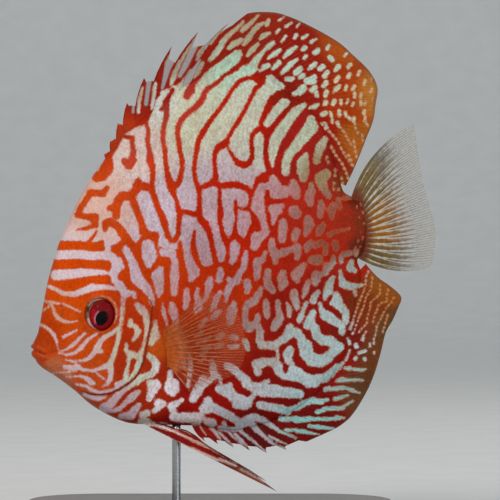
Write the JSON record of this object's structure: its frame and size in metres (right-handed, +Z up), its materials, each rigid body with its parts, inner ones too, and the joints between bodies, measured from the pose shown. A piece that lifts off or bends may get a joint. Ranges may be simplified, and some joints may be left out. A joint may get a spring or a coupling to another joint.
{
  "type": "discus fish model on display stand",
  "caption": "Life-size still model of a discus fish, a tall disc-shaped red and white patterned fish with spined fins, held by a rod on a flat oval wooden base.",
  "frame": {"origin": "centre of the stand base's underside", "axes": "+Z up, -X towards the fish's head and +X towards its tail, -Y out of its left flank; it swims nose-down by about 21 degrees in the XZ plane"},
  "size_m": [0.1544, 0.07, 0.195],
  "materials": {
    "fish_skin": "wet satin skin with small scales, orange head, red and pale network on the flanks",
    "spined_fin": "satin, red with pale mint dots and streaks",
    "clear_fin": "thin translucent membrane with fine rays",
    "eye": "wet gloss, deep crimson iris with a dark pupil",
    "stand_wood": "dark stained satin",
    "stand_steel": "brushed"
  },
  "bodies": {
    "root": {"head": "fish_skin", "lower_jaw": "fish_skin", "body": "fish_skin", "tail_stalk": "fish_skin", "gill_cover_left": "fish_skin", "gill_cover_right": "fish_skin", "dorsal_fin": "spined_fin", "anal_fin": "spined_fin", "caudal_fin": "clear_fin", "pectoral_fin_left": "clear_fin", "pectoral_fin_right": "clear_fin", "pelvic_fin_left": "spined_fin", "pelvic_fin_right": "spined_fin", "eye_left": "eye", "eye_right": "eye", "stand_base": "stand_wood", "stand_rod": "stand_steel"}
  },
  "joints": []
}
